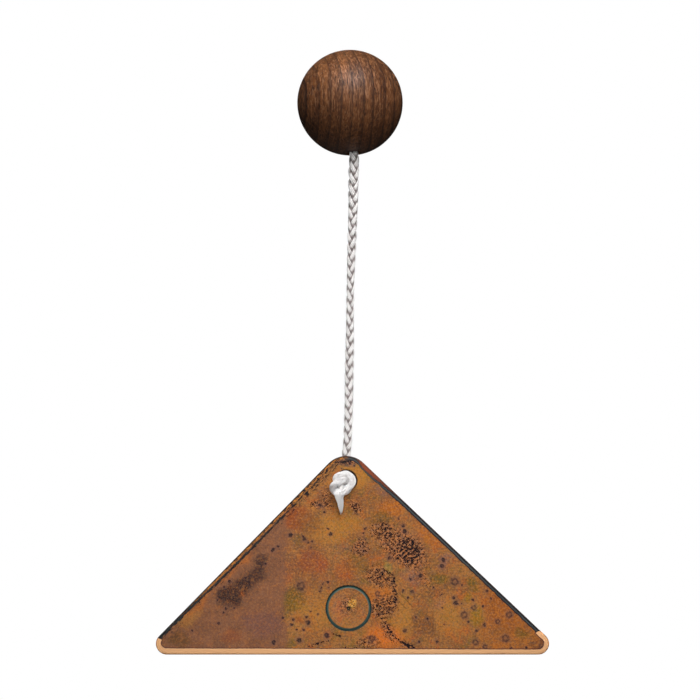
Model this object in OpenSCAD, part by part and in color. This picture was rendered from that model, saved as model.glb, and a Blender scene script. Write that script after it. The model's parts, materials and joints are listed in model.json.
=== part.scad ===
// Struck plate triangle: a thick copper triangle hung by a braided cord from a wooden ball.
// Millimetres. The origin is the centre of the ball, +Z is up, and the struck face looks along -Y.
// One cord is fixed in the ball's blind bore, hangs down behind the plate and comes forward
// through its hole to a stopper knot.

/* [Ball] */
// Diameter of the ball handle
ball_d = 40; // [36:0.5:48]
// Lean of the ball's bore as it hangs, in degrees
ball_lean = 4; // [0:0.5:8]
// Clear gap round the cord in its blind bore
bore_gap = 0.2; // [0.1:0.05:0.5]
// Height of the bore's blind end above the ball's centre
bore_top = 5; // [-4:0.5:10]
// Width and depth of the flare round the bore's mouth
flare = 1.2; // [0.6:0.1:2.4]

/* [Cord] */
// Diameter of the cord
cord_d = 3.4; // [3:0.1:3.6]
// Diameter of the cord where a knot draws it tight
knot_d = 2.5; // [2:0.1:2.6]
// Drop from the ball's centre to the centre of the plate's hole
cord_drop = 145.6; // [142:0.2:160]
// Sideways place of the plate's hole under the ball's centre
hole_x = -1.4; // [-3:0.1:1]
// Clear gap between the cord and what it rests on
cord_gap = 0.2; // [0.1:0.05:0.3]

/* [Plate] */
// Length of the base between the sharp corners, before they are rounded
plate_base = 156.2; // [130:0.2:190]
// Height of the sharp apex above the base
plate_h = 76.8; // [66:0.2:96]
// How far the apex stands to the left of the base's middle
apex_offset = 2.8; // [0:0.1:8]
// Thickness of the plate
plate_t = 6; // [5:0.1:8]
// Radius of the rounded apex
apex_r = 9.2; // [8:0.1:12]
// Radius of the two rounded base corners
corner_r = 4; // [3:0.1:8]
// Radius of the rounding along every edge
edge_r = 1.6; // [0.8:0.1:2.2]
// Diameter of the hole, which is concentric with the apex
hole_d = 7.2; // [6.8:0.1:8]
// Width of the bevel round the hole's two mouths
hole_bevel = 0.4; // [0.1:0.1:0.6]

/* [Marks] */
// Outer diameter of the ring groove
ring_d = 17; // [12:0.2:24]
// Width of the ring groove, which is half as deep
ring_w = 1.1; // [0.6:0.1:1.6]
// Height of the ring's centre above the base
ring_rise = 17; // [14:0.2:24]
// How far the ring's centre stands to the left of the base's middle
ring_offset = 1.7; // [-6:0.1:6]
// Diameter of the centre punch mark
punch_d = 1.6; // [0.8:0.1:2.4]
// Depth of the centre punch mark
punch_depth = 0.8; // [0.4:0.1:1.2]

/* [Hidden] */
$fn = 96;

// Sides of the round corners and of the rounding along the edges
corner_sides = 48;
rim_sides = 32;
// Sides of the swept cord, and curve steps round the rim and between two points of the knot
cord_sides = 8;
bend_steps = 4;
knot_steps = 2;
// Points along the knotted cord that count as neighbours when its gap to itself is measured
neighbours = 6;
// Diameters of the lower tail at its root and at its frayed tip
tail_d = 3;
tail_tip_d = 0.9;

ball_r = ball_d / 2;
cord_r = cord_d / 2;
hole_r = hole_d / 2;
bore_d = cord_d + 2 * bore_gap;
// The cord leaves the bore's plain stretch this far below the ball's centre
throat = ball_r - flare;
// Half of the point angle of the drill that made the bore
drill_half_angle = 59;

// Corners of the plate before rounding, from the middle of the base
left_corner = [-plate_base / 2, 0];
right_corner = [plate_base / 2, 0];
apex = [-apex_offset, plate_h];
ring_centre = [-ring_offset, ring_rise];

// The plate hangs with its centre of mass under the cord, which passes behind it, so it leans:
// the apex comes forward and the base goes back
hole_centre = arc_centre(apex, left_corner, right_corner, apex_r);
mass_drop = hole_centre.y - plate_h / 3;
rim_reach = cord_r + cord_gap;
plate_lean = asin((plate_t / 2 + rim_reach) / (mass_drop + hole_r));
hole_y = -mass_drop * sin(plate_lean);

// The cord bends round the top of the hole's rear rim, and its free stretch ends one diameter
// above the bend
hang_end = rim_bend_point(plate_lean) + [0, 0, cord_d];

// Route of the free cord under the ball, chosen to follow its slight slant and bow
cord_route = concat(
    [ball_point([0, 0, -throat]), ball_point([0, 0, -throat - cord_d])],
    [
        [1.3, 0, -31], [1.2, 0, -39], [0.9, 0, -48], [0.6, 0, -57], [0.3, 0, -66],
        [0.1, 0, -76], [0, 0, -85], [-0.1, 0, -94], [-0.3, 0, -104], [-0.4, 0, -113],
        [-0.6, 0, -122], [-0.9, 0, -130]
    ],
    [hang_end + [0, 0, cord_d], hang_end]
);

// Route of the overhand knot over a flat seat: x right, y up and z off the seat, seen from
// the front. The cord comes out at the middle, bridges to the left, winds once round itself
// close to the seat, tucks under the bridge and leaves over its own first turn
knot_route = [
    [-0.2, 1.2, -2.4], [-0.6, 0.6, 0], [-0.8, 0.4, 1.8], [-1.4, 0.2, 3.6], [-2.8, -0.4, 4.8],
    [-4.4, -1.4, 4.8], [-5, -3.2, 3.6], [-4, -4.8, 2.2], [-1.8, -5.2, 1.6], [0.2, -4.2, 1.6],
    [1.6, -2.4, 1.6], [2.2, -0.2, 1.6], [1.8, 2, 1.6], [0.2, 3.2, 1.6], [-2, 3, 1.6],
    [-3.6, 1.6, 1.6], [-3.6, -0.4, 1.6], [-2.4, -2, 1.8], [-1.6, -3, 3.4]
];
tail_route = [[-1.6, -4.6, 4.6], [-2, -6.8, 4.2], [-2.2, -9.2, 3.4], [-2.2, -12.4, 2.4]];

function unit(v) = v / norm(v);
function last(list) = list[len(list) - 1];

// Centre of the arc of radius r that rounds corner p, whose neighbours are q and s
function arc_centre(p, q, s, r) =
    let (to_q = unit(q - p), to_s = unit(s - p), half = acos(to_q * to_s) / 2)
    p + unit(to_q + to_s) * r / sin(half);

// A point given from the hole's centre on the plate's front face, placed where the plate hangs
function plate_point(p) =
    let (w = p.z + plate_t / 2)
    [
        hole_x + p.x,
        hole_y - p.y * sin(plate_lean) - w * cos(plate_lean),
        -cord_drop + p.y * cos(plate_lean) - w * sin(plate_lean)
    ];

// A point of the cord's bend over the hole's rear rim, turned by an angle from the rear face
function rim_bend_point(a) =
    plate_point([0, hole_r - rim_reach * sin(a), -plate_t - rim_reach * cos(a)]);

// A point given along the ball's bore, placed where the ball hangs
function ball_point(p) =
    [p.x * cos(ball_lean) - p.z * sin(ball_lean), p.y, p.x * sin(ball_lean) + p.z * cos(ball_lean)];

// A smooth curve through the points of a route, with so many steps to each span
function span_point(a, b, c, d, s) =
    (2 * b + (c - a) * s + (2 * a - 5 * b + 4 * c - d) * s * s
        + (3 * b - a - 3 * c + d) * s * s * s) / 2;
function smooth(p, steps) = concat(
    [
        for (i = [0 : len(p) - 2])
            for (k = [0 : steps - 1])
                span_point(p[max(i - 1, 0)], p[i], p[i + 1], p[min(i + 2, len(p) - 1)], k / steps)
    ],
    [last(p)]
);

// Directions along a route, and a side direction that is carried along it without twisting
function directions(p) =
    [for (i = [0 : len(p) - 1]) unit(p[min(i + 1, len(p) - 1)] - p[max(i - 1, 0)])];
function carried_sides(along, start, done = []) =
    len(done) == len(along)
        ? done
        : let (
              before = len(done) == 0 ? start : last(done),
              here = along[len(done)]
          )
          carried_sides(along, start, concat(done, [unit(before - (before * here) * here)]));

// The least clear gap between stretches of a swept cord that lie further apart along it than
// so many of its points
function least_gap(p, radii, apart) = min([
    for (i = [0 : len(p) - 1 - apart])
        for (k = [i + apart : len(p) - 1])
            norm(p[k] - p[i]) - radii[i] - radii[k]
]);

// One unbroken cord swept along points, with a radius at each of them
module swept_cord(p, radii) {
    along = directions(p);
    sides = carried_sides(along, [1, 0, 0]);
    n = cord_sides;
    points = [
        for (i = [0 : len(p) - 1])
            let (side = sides[i], other = cross(along[i], side))
            for (k = [0 : n - 1])
                let (a = 360 * (k + 0.5) / n)
                p[i] + radii[i] * (cos(a) * side + sin(a) * other)
    ];
    end = n * (len(p) - 1);
    walls = [
        for (i = [0 : len(p) - 2])
            for (k = [0 : n - 1])
                let (a = i * n + k, b = i * n + (k + 1) % n)
                each [[a, b + n, b], [a, a + n, b + n]]
    ];
    caps = [for (k = [1 : n - 2]) each [[0, k, k + 1], [end, end + k + 1, end + k]]];
    polyhedron(points, concat(walls, caps));
}

// Half of the plate's section through a corner, out from the axis of the corner's arc: flat faces
// that run into a rounding of edge_r
module rim_profile(reach) {
    flat_t = plate_t - 2 * edge_r;
    translate([0, -flat_t / 2]) square([reach, flat_t]);
    translate([0, -plate_t / 2]) square([reach - edge_r, plate_t]);
    for (side = [-1, 1])
        translate([reach - edge_r, side * flat_t / 2]) circle(edge_r, $fn = rim_sides);
}

// The solid triangle with rounded corners and edges, lying flat with its middle plane at z = 0
module rounded_triangle() {
    corners = [left_corner, right_corner, apex];
    radii = [corner_r, corner_r, apex_r];
    hull()
        for (i = [0 : 2]) {
            centre = arc_centre(corners[i], corners[(i + 1) % 3], corners[(i + 2) % 3], radii[i]);
            translate([centre.x, centre.y, 0])
                rotate_extrude($fn = corner_sides) rim_profile(radii[i]);
        }
}

module handle_ball() {
    color("saddlebrown")
        difference() {
            sphere(ball_r);
            rotate([0, -ball_lean, 0]) {
                // Blind bore with the cone that a drill leaves
                translate([0, 0, -ball_r]) cylinder(d = bore_d, h = ball_r + bore_top);
                translate([0, 0, bore_top])
                    cylinder(h = bore_d / 2 / tan(drill_half_angle), d1 = bore_d, d2 = 0);
                // Flared mouth
                translate([0, 0, -throat - 2 * flare])
                    cylinder(h = 2 * flare, d1 = bore_d + 4 * flare, d2 = bore_d);
            }
        }
}

module cord_root() {
    color("whitesmoke")
        rotate([0, -ball_lean, 0])
            translate([0, 0, -throat]) cylinder(d = cord_d, h = throat + bore_top);
}

module hanging_cord() {
    color("whitesmoke") swept_cord(cord_route, [for (p = cord_route) cord_r]);
}

module lower_knot() {
    // Down to the hole, round its rear rim, and forward through it
    bend = [
        for (k = [0 : bend_steps])
            rim_bend_point(plate_lean + k * (90 - plate_lean) / bend_steps)
    ];
    through = [plate_point([0, hole_r - rim_reach, -plate_t / 2])];
    knot = [for (p = concat(knot_route, tail_route)) plate_point(p)];
    route = concat([hang_end], bend, through, smooth(knot, knot_steps));
    tail_steps = len(tail_route) * knot_steps;
    tail_start = len(route) - 1 - tail_steps;
    radii = [
        for (i = [0 : len(route) - 1])
            i < len(bend) + 2
                ? cord_r
                : i <= tail_start
                    ? knot_d / 2
                    : (tail_d + (tail_tip_d - tail_d) * (i - tail_start) / tail_steps) / 2
    ];
    echo(least_gap_in_knot = least_gap(route, radii, neighbours));
    color("whitesmoke") swept_cord(route, radii);
}

module triangle_plate() {
    color("peru")
        translate([hole_x, hole_y, -cord_drop])
            rotate([90 + plate_lean, 0, 0])
                translate([-hole_centre.x, -hole_centre.y, 0])
                    difference() {
                        rounded_triangle();
                        // Hole for the cord, bevelled at both mouths
                        translate([hole_centre.x, hole_centre.y, 0])
                            for (turn = [0, 180])
                                rotate([0, turn, 0]) {
                                    cylinder(d = hole_d, h = plate_t);
                                    translate([0, 0, plate_t / 2 - hole_bevel])
                                        cylinder(
                                            h = 2 * hole_bevel,
                                            d1 = hole_d,
                                            d2 = hole_d + 4 * hole_bevel
                                        );
                                }
                        translate([ring_centre.x, ring_centre.y, plate_t / 2]) {
                            // Ring groove
                            rotate_extrude()
                                translate([(ring_d - ring_w) / 2, 0]) circle(d = ring_w);
                            // Centre punch mark
                            translate([0, 0, -punch_depth])
                                cylinder(h = 2 * punch_depth, d1 = 0, d2 = 2 * punch_d);
                        }
                    }
}

handle_ball();
cord_root();
hanging_cord();
lower_knot();
triangle_plate();
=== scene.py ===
import json
import math
import random
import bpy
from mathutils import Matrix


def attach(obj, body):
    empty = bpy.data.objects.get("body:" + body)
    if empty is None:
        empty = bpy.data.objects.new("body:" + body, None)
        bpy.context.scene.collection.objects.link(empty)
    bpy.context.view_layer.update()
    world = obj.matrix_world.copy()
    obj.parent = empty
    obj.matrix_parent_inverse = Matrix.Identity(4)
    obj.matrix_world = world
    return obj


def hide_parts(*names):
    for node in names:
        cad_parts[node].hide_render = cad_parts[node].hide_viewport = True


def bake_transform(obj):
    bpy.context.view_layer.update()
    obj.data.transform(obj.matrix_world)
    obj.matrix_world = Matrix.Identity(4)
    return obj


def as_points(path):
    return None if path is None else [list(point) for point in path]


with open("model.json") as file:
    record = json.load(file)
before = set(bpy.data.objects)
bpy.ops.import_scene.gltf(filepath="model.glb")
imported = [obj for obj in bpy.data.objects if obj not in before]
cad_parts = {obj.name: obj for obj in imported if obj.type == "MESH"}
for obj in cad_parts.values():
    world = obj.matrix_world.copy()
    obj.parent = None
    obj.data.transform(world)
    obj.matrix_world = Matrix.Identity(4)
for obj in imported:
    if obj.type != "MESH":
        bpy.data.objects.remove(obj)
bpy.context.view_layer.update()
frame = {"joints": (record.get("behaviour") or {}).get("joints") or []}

from types import SimpleNamespace

import bpy
import numpy as np
from mathutils import Vector, geometry, noise

joints = {joint["name"]: joint for joint in frame["joints"]}

# The view: a long lens a little over a metre away, low enough to look up at the ball's underside
# and square on to the face of the plate that leans under it.
camera_away = 1.2
camera_below = 0.3215
camera_tilt = math.radians(10.667)
film_width = 36.0
lens = 167.9

camera = bpy.data.objects.new("camera", bpy.data.cameras.new("camera"))
bpy.context.scene.collection.objects.link(camera)
camera.location = (0, -camera_away, -camera_below)
camera.rotation_euler = (math.pi / 2 + camera_tilt, 0, 0)
camera.data.sensor_width = film_width
camera.data.lens = lens
camera.data.clip_start = 0.1
bpy.context.scene.camera = camera


# The cord: one limp white braid of eight strands, each laid up from three soft yarns. It is glued
# into the ball's bore, hangs down behind the plate, comes forward over the rim of its hole and
# ends in an overhand stopper knot with a frayed tail.
cord_d = 0.0034
bore_top = 0.005
plate_t = 0.006
hole_r = 0.0036
rim_reach = 0.0019

throat = np.array(joints["cord_swing"]["pos_m"])
hang_end = np.array(joints["plate_nod"]["pos_m"])
hole_middle = np.array(joints["plate_turn"]["pos_m"])
face_out = np.array(joints["plate_turn"]["axis"])
face_up = np.cross(face_out, [1, 0, 0])
bore_down = -np.array(joints["cord_twist"]["axis"])


def on_plate(x, y, z):
    """A point given from the hole's centre on the front face: right, up and out of the face."""
    return hole_middle + x * np.array([1, 0, 0]) + y * face_up + (z + plate_t / 2) * face_out


fall_route = [
    (0.0013, 0, -0.031), (0.0012, 0, -0.039), (0.0009, 0, -0.048), (0.0006, 0, -0.057),
    (0.0003, 0, -0.066), (0.0001, 0, -0.076), (0, 0, -0.085), (-0.0001, 0, -0.094),
    (-0.0003, 0, -0.104), (-0.0004, 0, -0.113), (-0.0006, 0, -0.122), (-0.0009, 0, -0.130),
]
knot_route = [
    (-0.0002, 0.0012, -0.0024), (-0.0006, 0.0006, 0), (-0.0008, 0.0004, 0.0018),
    (-0.0014, 0.0002, 0.0036), (-0.0028, -0.0004, 0.0048), (-0.0044, -0.0014, 0.0048),
    (-0.0050, -0.0032, 0.0036), (-0.0040, -0.0048, 0.0022), (-0.0018, -0.0052, 0.0016),
    (0.0002, -0.0042, 0.0016), (0.0016, -0.0024, 0.0016), (0.0022, -0.0002, 0.0016),
    (0.0018, 0.0020, 0.0016), (0.0002, 0.0032, 0.0016), (-0.0020, 0.0030, 0.0016),
    (-0.0036, 0.0016, 0.0016), (-0.0036, -0.0004, 0.0016), (-0.0024, -0.0020, 0.0018),
    (-0.0016, -0.0030, 0.0034),
]
tail_route = [
    (-0.0016, -0.0046, 0.0046), (-0.0020, -0.0068, 0.0042), (-0.0022, -0.0092, 0.0034),
    (-0.0022, -0.0124, 0.0024),
]
bend_steps = 4
hang_lean = math.atan2(-face_out[2], -face_out[1])


def rim_bend_point(angle):
    """A point of the cord's bend over the hole's rear rim, by its angle from the rear face."""
    up = hole_r - rim_reach * math.sin(angle)
    return on_plate(0, up, -plate_t - rim_reach * math.cos(angle))


def smooth_line(points, steps=8):
    """A smooth curve through the points, with so many steps to each span."""
    p = np.array([points[0], *points, points[-1]], float)
    line = []
    for a, b, c, d in zip(p, p[1:], p[2:], p[3:]):
        for s in np.arange(steps) / steps:
            line.append(
                b + 0.5 * (c - a) * s
                + 0.5 * (2 * a - 5 * b + 4 * c - d) * s**2
                + 0.5 * (3 * b - a - 3 * c + d) * s**3
            )
    return np.array([*line, p[-1]])


def run_along(line):
    """How far each point of a line is from its first, along the line."""
    return np.concatenate([[0], np.cumsum(np.linalg.norm(np.diff(line, axis=0), axis=1))])


def evenly(line, step):
    """The line again, with its points one step apart."""
    run = run_along(line)
    at = np.linspace(0, run[-1], int(run[-1] / step) + 1)
    return np.stack([np.interp(at, run, line[:, k]) for k in range(3)], axis=1)


def unit(v):
    return v / np.linalg.norm(v, axis=-1, keepdims=True)


def directions(line):
    return unit(np.gradient(line, axis=0))


def carried_sides(along, start):
    """A side direction that goes along with a line without twisting round it."""
    sides = []
    side = np.array(start, float)
    for here in along:
        side = unit(side - side @ here * here)
        sides.append(side)
    return np.array(sides)


ring_step = 0.0006
bends = [
    rim_bend_point(hang_lean + k * (math.pi / 2 - hang_lean) / bend_steps)
    for k in range(bend_steps + 1)
]
through = on_plate(0, hole_r - rim_reach, -plate_t / 2)
knot_points = [on_plate(*p) for p in knot_route + tail_route]
root_end = -bore_down * bore_top
whole_route = [
    root_end, (root_end + throat) / 2, throat, throat + bore_down * cord_d, *fall_route,
    hang_end + np.array([0, 0, cord_d]), hang_end, *bends, through, *knot_points,
]
cord_line = evenly(smooth_line(whole_route), ring_step)
cord_run = run_along(cord_line)


def run_at(point):
    """How far along the cord it passes nearest to a point."""
    return cord_run[np.argmin(np.linalg.norm(cord_line - point, axis=1))]


# The knot is pulled tighter than its route: the place on the face that it draws in towards, and how
# much of its width and of its height is left.
knot_middle = (-0.0026, -0.0014, 0)
knot_draw = (0.96, 0.8)


def drawn_in(line, share):
    """The line with the knot's turns drawn in towards its middle, by a share along the line."""
    off = line - on_plate(*knot_middle)
    right = off[:, 0] * (knot_draw[0] - 1) * share
    up = (off @ face_up) * (knot_draw[1] - 1) * share
    return line + right[:, None] * np.array([1, 0, 0]) + up[:, None] * face_up


# Width of the cord at places along it: it swells out of the ball, is drawn thin half way down,
# is pulled tight in the knot and opens again where the tail begins to fray.
throat_run = run_at(throat)
through_run = run_at(through)
tail_run = run_at(knot_points[len(knot_route)])
width_places = [
    (0, 0.0034), (throat_run, 0.0034), (throat_run + 0.004, 0.0039),
    (throat_run + 0.018, 0.0038), (throat_run + 0.032, 0.0034), (throat_run + 0.050, 0.0030),
    (throat_run + 0.066, 0.0030), (throat_run + 0.078, 0.0034),
    (through_run - 0.003, 0.0033), (through_run, 0.0044), (through_run + 0.003, 0.0044),
    (through_run + 0.005, 0.0028), (tail_run - 0.001, 0.0027), (tail_run + 0.002, 0.0018),
    (cord_run[-1], 0.0005),
]
cord_radius = np.interp(cord_run, *zip(*width_places)) / 2
pulled_tight = np.interp(cord_run, [through_run - 0.002, through_run + 0.005], [0, 1])
in_knot = np.interp(
    cord_run, [through_run, through_run + 0.004, tail_run - 0.003, tail_run + 0.001],
    [0, 1, 1, 0],
)
cord_line = drawn_in(cord_line, in_knot)

# The braid: four strands wind each way, and each passes over two and under two of the others, so
# that two columns of slanting strands meet in a V down the middle. Shares are of the cord's radius.
strand_count = 4
lay_length = 0.018
core_share = 0.58
wave_share = 0.23
squareness = 1.8
yarns_in_strand = 3
yarn_sides = 6
yarn_share = 0.165
spread_share = 0.275
crown_share = 0.11
wobble_length = 0.004
wobble_aside_share = 0.12
wobble_lift_share = 0.03
seam_turn = math.radians(22.5)
wander_turn = math.radians(20)
wander_length = 0.047
# Where the knot pulls the braid tight its waves flatten, its yarns swell and painted shade eases
flattening = 0.45
swelling = 0.3
fold_shade_easing = 0.75
knot_shade_lift = 0.22
# How far the yarns go on into the tail, and how they taper there
yarn_overrun = 0.003
yarn_taper = 0.002
yarn_end_share = 0.2
# What each point of a yarn keeps, for the yarn's finish
yarn_marks = {"fibre": "FLOAT_VECTOR", "depth": "FLOAT", "shade": "FLOAT", "rise": "FLOAT"}

cord_along = directions(cord_line)
cord_side = carried_sides(cord_along, [1, 0, 0])
cord_other = np.cross(cord_along, cord_side)
braid_twist = seam_turn + wander_turn * np.sin(cord_run * 2 * math.pi / wander_length)
# Fixed starts, so that each run gives the same cord and the same patina
dice = random.Random(7)
noise.seed_set(1)


def yarn_lines():
    """Centre lines of all the yarns, with each one's radius, depth in the braid and shade."""
    for way in (1, -1):
        for strand in range(strand_count):
            turn = way * 2 * math.pi * (cord_run / lay_length + strand / strand_count)
            wave = np.sin(2 * turn + math.pi / 4)
            wave = way * np.tanh(squareness * wave) / math.tanh(squareness)
            reach = cord_radius * (
                core_share + wave_share * wave * (1 - flattening * pulled_tight))
            round_way = (turn + braid_twist)[:, None]
            out = np.cos(round_way) * cord_side + np.sin(round_way) * cord_other
            centre = cord_line + reach[:, None] * out
            across = unit(np.cross(directions(centre), out))
            for yarn in range(yarns_in_strand):
                place = yarn - (yarns_in_strand - 1) / 2
                wobble = np.array([
                    noise.noise(Vector((run / wobble_length, strand * 3.1 + place, way * 7.7)))
                    for run in cord_run
                ])
                aside = cord_radius * spread_share * (place + wobble_aside_share * wobble)
                lift = cord_radius * (
                    crown_share * (1 - abs(place)) + wobble_lift_share * wobble)
                line = centre + aside[:, None] * across + lift[:, None] * out
                # How deep the strand dives, for the finish's painted shade, which eases where the
                # knot is tight
                depth = 1 - (1 - wave) / 2 * (1 - fold_shade_easing * pulled_tight)
                thick = cord_radius * yarn_share * (1 + swelling * pulled_tight)
                yield line, thick, depth, dice.random()


def no_yarns():
    """The points, faces and marks of a piece of cord, before any yarn is added."""
    return {key: [] for key in ("points", "faces", *yarn_marks)}


def add_tube(mesh, line, radii, sides, **marks):
    """Adds a closed tube along a line to a mesh under construction, with values at its points."""
    along = directions(line)
    side = carried_sides(along, cord_side[0])
    other = np.cross(along, side)
    first = len(mesh["points"])
    for i, centre in enumerate(line):
        for k in range(sides):
            a = 2 * math.pi * k / sides
            away = math.cos(a) * side[i] + math.sin(a) * other[i]
            mesh["points"].append(centre + radii[i] * away)
            mesh["fibre"].append((math.cos(a), math.sin(a), i * ring_step))
            for name, value in marks.items():
                mesh[name].append(value if np.isscalar(value) else value[i])
    for i in range(len(line) - 1):
        for k in range(sides):
            a = first + i * sides + k
            b = first + i * sides + (k + 1) % sides
            mesh["faces"].append((a, b, b + sides, a + sides))
    last = first + sides * (len(line) - 1)
    mesh["faces"].append(tuple(first + k for k in reversed(range(sides))))
    mesh["faces"].append(tuple(last + k for k in range(sides)))


def new_piece(name, points, faces, smooth=True):
    """A mesh object of that name, in the frame's own place."""
    mesh = bpy.data.meshes.new(name)
    mesh.from_pydata([tuple(p) for p in points], [], faces)
    mesh.validate()
    mesh.polygons.foreach_set("use_smooth", [smooth] * len(mesh.polygons))
    piece = bpy.data.objects.new(name, mesh)
    bpy.context.scene.collection.objects.link(piece)
    return piece


def mark_points(piece, name, kind, values):
    """Keeps a value or a vector at each point of a piece, for its finish to read."""
    attribute = piece.data.attributes.new(name, kind, "POINT")
    key = {"FLOAT": "value", "FLOAT_VECTOR": "vector", "FLOAT_COLOR": "color"}[kind]
    attribute.data.foreach_set(key, np.array(values, np.float32).ravel())


def add_braid(mesh, start_run, end_run):
    """The stretch of braid between two places along the cord; its yarns taper into the tail."""
    keep = (cord_run >= start_run - ring_step / 2) & (cord_run <= end_run + ring_step / 2)
    for line, radii, depth, shade in yarn_lines():
        left = tail_run + yarn_overrun - cord_run[keep]
        thin = np.clip(left / yarn_taper, yarn_end_share, 1)
        add_tube(mesh, line[keep], radii[keep] * thin, yarn_sides, depth=depth[keep], shade=shade)
        tube = np.array(mesh["points"][-yarn_sides * keep.sum():]).reshape(-1, yarn_sides, 3)
        # How far each point stands out from the cord's line, for the painted shade; more in the knot
        rise = np.linalg.norm(tube - cord_line[keep][:, None], axis=2)
        rise = rise / cord_radius[keep][:, None] + knot_shade_lift * pulled_tight[keep][:, None]
        mesh["rise"] += list(rise.ravel())


# The frayed tail: how far its combed-out fibres spread to the sides, how thick the bundle is and
# how far it stands off the cord's line, at places along it. A few fibres in its middle are long.
fibre_count = 130
long_fibres = 6
long_spread_share = 0.4
most_cut_share = 0.6
fibre_r = 0.00016
fibre_sides = 4
fibre_taper_rings = 5
fibre_end_share = 0.3
fibre_root = 0.002
fibre_rise = 1.3
fibre_wobble_length = 0.0035
fibre_wobble_share = 0.22
tail_places = (-0.002, 0, 0.0022, 0.0046, 0.0066, 0.009)
tail_half_width = (0.0011, 0.0020, 0.0014, 0.00105, 0.0007, 0.0002)
tail_half_depth = (0.0008, 0.0012, 0.0010, 0.0007, 0.0004, 0.0002)
tail_aside = (-0.0002, -0.0008, -0.0006, 0.0001, 0.0003, 0.0002)


def add_fibres(mesh):
    """Loose fibres of the tail, which end one by one towards its tip."""
    keep = cord_run >= tail_run - fibre_root
    line, run = cord_line[keep], cord_run[keep] - tail_run
    half_width = np.interp(run, tail_places, tail_half_width)
    half_depth = np.interp(run, tail_places, tail_half_depth)
    aside = np.interp(run, tail_places, tail_aside)
    for fibre in range(fibre_count):
        turn, reach = 2 * math.pi * dice.random(), math.sqrt(dice.random())
        length_share = 1.0
        if fibre < long_fibres:
            reach *= long_spread_share
        else:
            length_share -= most_cut_share * dice.random() ** 1.5
        wobble = fibre_wobble_share * np.array([
            noise.noise_vector(Vector((r / fibre_wobble_length, fibre * 5.3, 0.5))) for r in run
        ])
        across = aside + half_width * (reach * math.cos(turn) + wobble[:, 0])
        out = half_depth * (reach * math.sin(turn) + wobble[:, 1])
        strand = line + across[:, None] * np.array([1, 0, 0]) + out[:, None] * face_out
        rings = max(3, int(len(run) * length_share))
        left = (rings - np.arange(rings)) / fibre_taper_rings
        radii = fibre_r * np.clip(left, fibre_end_share, 1)
        add_tube(
            mesh, strand[:rings], radii, fibre_sides,
            depth=1.0, shade=0.5 * dice.random(), rise=fibre_rise)


def cord_piece(name, mesh):
    """Makes the piece of cord whose yarns have been added to the mesh."""
    piece = new_piece(name, mesh["points"], mesh["faces"])
    for mark, kind in yarn_marks.items():
        mark_points(piece, mark, kind, mesh[mark])
    return piece


class Flow:
    """What a node of a finish gives out. Sums and products of it are worked out by nodes too."""

    def __init__(self, node, output=0):
        self.tree, self.socket = node.id_data, node.outputs[output]

    def __add__(self, other):
        return maths("ADD", self, other)

    def __sub__(self, other):
        return maths("SUBTRACT", self, other)

    def __mul__(self, other):
        return maths("MULTIPLY", self, other)

    def __truediv__(self, other):
        return maths("DIVIDE", self, other)

    def __radd__(self, other):
        return maths("ADD", other, self)

    def __rsub__(self, other):
        return maths("SUBTRACT", other, self)

    def __rmul__(self, other):
        return maths("MULTIPLY", other, self)

    def __abs__(self):
        return maths("ABSOLUTE", self)


def feed(node, inputs):
    """Sets a node's inputs, or joins them to what other nodes give out."""
    for name, value in inputs.items():
        if isinstance(value, Flow):
            value.tree.links.new(value.socket, node.inputs[name])
        else:
            node.inputs[name].default_value = value


def add_node(tree, kind, **settings):
    node = tree.nodes.new(kind)
    for name, value in settings.items():
        setattr(node, name, value)
    return node


def fed(kind, inputs, output=0, **settings):
    """What comes out of a new node that is added to the finish its inputs belong to."""
    tree = next(value.tree for value in inputs.values() if isinstance(value, Flow))
    node = add_node(tree, kind, **settings)
    feed(node, inputs)
    return Flow(node, output)


def seen(red, green, blue):
    """A colour given as it looks on a screen, from 0 to 255."""
    return tuple(((c / 255 + 0.055) / 1.055) ** 2.4 for c in (red, green, blue)) + (1,)


def maths(operation, *values):
    return fed("ShaderNodeMath", dict(enumerate(values)), operation=operation)


def vector(operation, *places, output=0):
    return fed("ShaderNodeVectorMath", dict(enumerate(places)), output, operation=operation)


def parts_of(place):
    """How far a place lies to the right, to the back and up."""
    node = add_node(place.tree, "ShaderNodeSeparateXYZ")
    feed(node, {0: place})
    return [Flow(node, k) for k in range(3)]


def place_at(*parts):
    return fed("ShaderNodeCombineXYZ", dict(enumerate(parts)))


def stretched(place, by):
    """A place with its three directions scaled."""
    return vector("MULTIPLY", place, by)


def mixed(share, first, second, way="MIX"):
    """The second colour over the first, by a share."""
    inputs = {0: share, 6: first, 7: second}
    return fed("ShaderNodeMix", inputs, 2, data_type="RGBA", blend_type=way)


def ramp(value, low, high):
    """0 below low and 1 above high, and smooth between them; high may be the lower one."""
    inputs = {"Value": value, "From Min": low, "From Max": high}
    return fed("ShaderNodeMapRange", inputs, interpolation_type="SMOOTHSTEP")


def grain(place, size, detail=2.0, rough=0.5, wander=0.0, output="Fac"):
    """Cloudy noise from 0 to 1, whose lumps are about one size across."""
    inputs = {
        "Vector": place, "Scale": 1 / size, "Detail": detail, "Roughness": rough,
        "Distortion": wander,
    }
    return fed("ShaderNodeTexNoise", inputs, output)


def bumped(height, distance):
    """A surface normal raised by a height from 0 to 1 times a distance."""
    return fed("ShaderNodeBump", {"Height": height, "Distance": distance, "Strength": 1.0})


def new_finish(name):
    """An empty finish: its material, its tree of nodes and its shader."""
    material = bpy.data.materials.new(name)
    material.use_nodes = True
    tree = material.node_tree
    return material, tree, tree.nodes["Principled BSDF"]


def mark_of(tree, name, output="Fac"):
    """The value that a piece keeps under that name at each of its points."""
    return Flow(add_node(tree, "ShaderNodeAttribute", attribute_name=name), output)


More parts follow.
